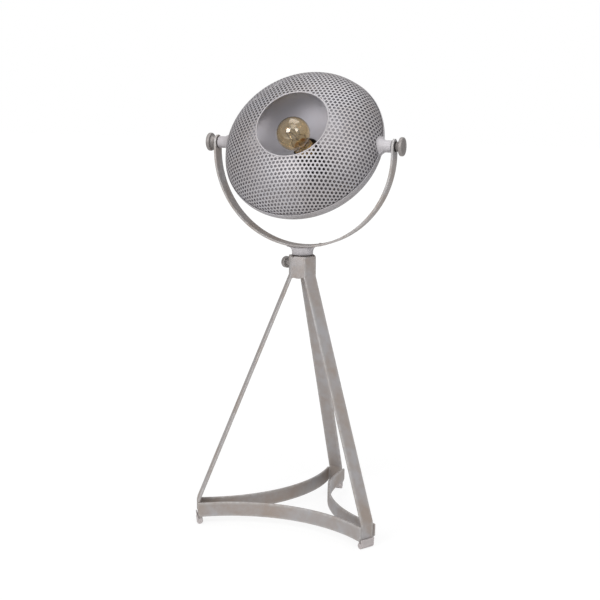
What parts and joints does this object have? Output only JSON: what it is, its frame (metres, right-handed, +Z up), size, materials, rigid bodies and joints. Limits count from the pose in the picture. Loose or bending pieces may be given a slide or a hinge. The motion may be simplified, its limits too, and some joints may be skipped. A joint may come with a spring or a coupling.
{
  "type": "table lamp",
  "caption": "Table lamp with a domed perforated metal head that tilts in a forked yoke, on a swivel hub and three flat-bar legs joined by curved straps.",
  "frame": {"origin": "on the floor plane, at the middle of the lamp's overall box", "axes": "+Z up, -Y towards the side the lamp head faces, and X along the head's tilt axis"},
  "size_m": [0.2826, 0.2304, 0.6187],
  "materials": {
    "zinc_paint": "worn satin zinc grey with faint brown mottling",
    "head_paint": "satin zinc grey, slightly blue",
    "clear_vinyl": "soft and slightly clear",
    "knob_metal": "darkened satin",
    "steel": "satin",
    "fibre": "matte",
    "black_phenolic": "semi-gloss",
    "brass": "bright",
    "amber_glass": "clear amber"
  },
  "bodies": {
    "stand": {"leg_rear": "zinc_paint", "leg_front_left": "zinc_paint", "leg_front_right": "zinc_paint", "base_strap_left": "zinc_paint", "base_strap_front": "zinc_paint", "base_strap_right": "zinc_paint", "foot_pad_rear": "clear_vinyl", "foot_pad_front_left": "clear_vinyl", "foot_pad_front_right": "clear_vinyl", "hub_tube": "zinc_paint", "hub_plate_left": "zinc_paint", "hub_plate_front": "zinc_paint", "hub_plate_right": "zinc_paint"},
    "yoke": {"yoke_strap": "zinc_paint", "yoke_neck": "zinc_paint", "swivel_pin": "steel", "friction_washer": "fibre", "retaining_washer": "steel", "retaining_nut": "steel"},
    "head": {"rear_bowl": "head_paint", "front_grille": "head_paint", "opening_rim": "head_paint", "trunnion_left": "head_paint", "trunnion_right": "head_paint", "pivot_washer_left": "fibre", "pivot_washer_right": "fibre", "lampholder_body": "black_phenolic", "lampholder_sleeve": "brass", "lampholder_contact": "brass", "spacer_washer": "steel", "nipple_nut": "steel", "threaded_nipple": "steel", "cord_inlet_bush": "black_phenolic"},
    "bulb": {"bulb_globe": "amber_glass", "bulb_cap": "brass", "bulb_insulator": "black_phenolic", "bulb_contact": "brass", "bulb_stem": "amber_glass", "bulb_filament": "steel"},
    "left_knob": {"tilt_knob_left": "knob_metal", "tilt_stud_left": "steel", "knob_washer_left": "fibre"},
    "right_knob": {"tilt_knob_right": "knob_metal", "tilt_stud_right": "steel", "knob_washer_right": "fibre"},
    "lock_screw": {"lock_screw": "knob_metal"}
  },
  "joints": [
    {"name": "yoke_swivel", "type": "hinge", "parent": "stand", "child": "yoke", "pos_m": [0, -0.03118, 0.373], "axis": [0, 0, 1], "continuous": true},
    {"name": "head_tilt", "type": "hinge", "parent": "yoke", "child": "head", "pos_m": [0, -0.03118, 0.523], "axis": [-1, 0, 0], "range_deg": [-124, 56]},
    {"name": "left_knob_turn", "type": "hinge", "parent": "head", "child": "left_knob", "pos_m": [-0.1288, -0.03118, 0.523], "axis": [-1, 0, 0], "range_deg": [0, 360]},
    {"name": "right_knob_turn", "type": "hinge", "parent": "head", "child": "right_knob", "pos_m": [0.1288, -0.03118, 0.523], "axis": [1, 0, 0], "range_deg": [0, 360]},
    {"name": "lock_screw_turn", "type": "hinge", "parent": "stand", "child": "lock_screw", "pos_m": [0, -0.03118, 0.36], "axis": [-0.866, 0.5, 0], "range_deg": [0, 540]},
    {"name": "bulb_turn", "type": "hinge", "parent": "head", "child": "bulb", "pos_m": [0, -0.00449, 0.50479], "axis": [-0.1045, -0.8216, 0.5604], "range_deg": [0, 720]}
  ]
}
